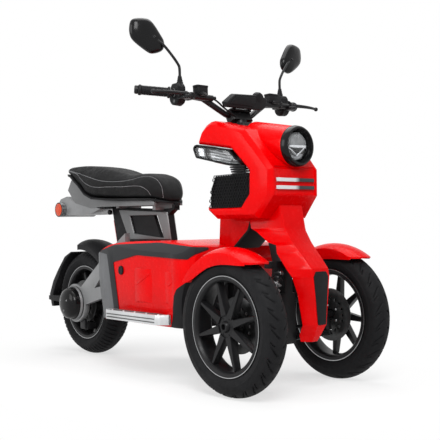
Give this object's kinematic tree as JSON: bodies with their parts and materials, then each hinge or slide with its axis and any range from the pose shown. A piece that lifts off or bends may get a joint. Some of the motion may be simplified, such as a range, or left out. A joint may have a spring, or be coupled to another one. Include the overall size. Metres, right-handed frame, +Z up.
{
  "type": "electric motor scooter",
  "caption": "Electric motor scooter with a pair of steered front wheels, a hub motor at the rear, a hinged long seat, low footboards and a high handlebar.",
  "frame": {"origin": "on the ground, below the middle of the overall box", "axes": "+X ahead, +Y to the rider's left, +Z up"},
  "size_m": [1.801, 0.8432, 1.3024],
  "materials": {
    "red_paint": "glossy painted plastic",
    "charcoal_paint": "satin charcoal paint",
    "black_plastic": "grained black plastic",
    "silver_paint": "satin silver-grey paint",
    "black_steel": "black painted steel",
    "aluminium": "cast aluminium",
    "steel": "bare steel",
    "tyre_rubber": "black rubber",
    "hose_rubber": "black rubber hose",
    "seat_leather": "black leather with pale seams",
    "clear_glass": "clear lens",
    "lamp_white": "clear lamp cover",
    "lamp_red": "red lamp cover",
    "battery_case": "black case"
  },
  "bodies": {
    "chassis": {"frame": "black_steel", "body_shell": "red_paint", "belly_pan": "black_plastic", "battery": "battery_case", "side_trims": "charcoal_paint", "running_boards": "black_plastic", "front_cowl": "red_paint", "headlamp_bezel": "charcoal_paint", "headlamp_lens": "clear_glass", "led_bars": "lamp_white", "side_lamps": "lamp_white", "side_grilles": "black_plastic", "nose": "red_paint", "nose_plate": "charcoal_paint", "neck_cover": "red_paint", "seat_post": "black_plastic", "seat_post_trims": "silver_paint", "seat_rails": "silver_paint", "tail_housing": "silver_paint", "tail_lights": "lamp_red", "swingarm": "silver_paint", "rear_axle": "steel", "hub_covers": "silver_paint", "rear_caliper": "aluminium", "rear_mudguard": "black_plastic", "splash_guard": "black_plastic", "front_arms": "black_steel", "front_shocks": "black_steel"},
    "handlebar": {"steering_stem": "black_steel", "bar_clamp": "charcoal_paint", "handlebar": "black_steel", "grips": "black_plastic", "controls": "black_plastic", "brake_levers": "aluminium", "display": "black_plastic", "mirrors": "black_plastic", "brake_hoses": "hose_rubber"},
    "left_knuckle": {"left_knuckle": "black_steel", "front_left_caliper": "aluminium", "front_left_mudguard": "red_paint"},
    "right_knuckle": {"right_knuckle": "black_steel", "front_right_caliper": "aluminium", "front_right_mudguard": "red_paint"},
    "tie_rod": {"tie_rod": "black_steel"},
    "front_left_wheel": {"front_left_tyre": "tyre_rubber", "front_left_rim": "aluminium", "front_left_brake_disc": "steel"},
    "front_right_wheel": {"front_right_tyre": "tyre_rubber", "front_right_rim": "aluminium", "front_right_brake_disc": "steel"},
    "rear_wheel": {"rear_tyre": "tyre_rubber", "rear_rim_motor": "aluminium", "rear_brake_disc": "steel"},
    "seat": {"seat": "seat_leather", "seat_base": "black_plastic"}
  },
  "joints": [
    {"name": "steering", "type": "hinge", "parent": "chassis", "child": "handlebar", "pos_m": [0.4505, 0, 0.94], "axis": [-0.4226, 0, 0.9063], "range_deg": [-30, 30]},
    {"name": "left_kingpin", "type": "hinge", "parent": "chassis", "child": "left_knuckle", "pos_m": [0.6675, 0.1875, 0.233], "axis": [-0.2588, 0, 0.9659], "range_deg": [-30, 30]},
    {"name": "right_kingpin", "type": "hinge", "parent": "chassis", "child": "right_knuckle", "pos_m": [0.6675, -0.1875, 0.233], "axis": [-0.2588, 0, 0.9659], "range_deg": [-30, 30]},
    {"name": "tie_rod_end", "type": "hinge", "parent": "left_knuckle", "child": "tie_rod", "pos_m": [0.5873, 0.1875, 0.18459], "axis": [-0.2588, 0, 0.9659], "range_deg": [-30, 30]},
    {"name": "front_left_wheel_spin", "type": "hinge", "parent": "left_knuckle", "child": "front_left_wheel", "pos_m": [0.6675, 0.2475, 0.233], "axis": [0, 1, 0], "continuous": true},
    {"name": "front_right_wheel_spin", "type": "hinge", "parent": "right_knuckle", "child": "front_right_wheel", "pos_m": [0.6675, -0.2475, 0.233], "axis": [0, 1, 0], "continuous": true},
    {"name": "rear_wheel_spin", "type": "hinge", "parent": "chassis", "child": "rear_wheel", "pos_m": [-0.5945, 0, 0.236], "axis": [0, 1, 0], "continuous": true},
    {"name": "seat_hinge", "type": "hinge", "parent": "chassis", "child": "seat", "pos_m": [0.0455, 0, 0.65], "axis": [0, 1, 0], "range_deg": [0, 60]}
  ],
  "couplings": [
    {"joint": "left_kingpin", "follows": "steering", "ratio": 1},
    {"joint": "right_kingpin", "follows": "steering", "ratio": 1},
    {"joint": "tie_rod_end", "follows": "steering", "ratio": -1}
  ]
}
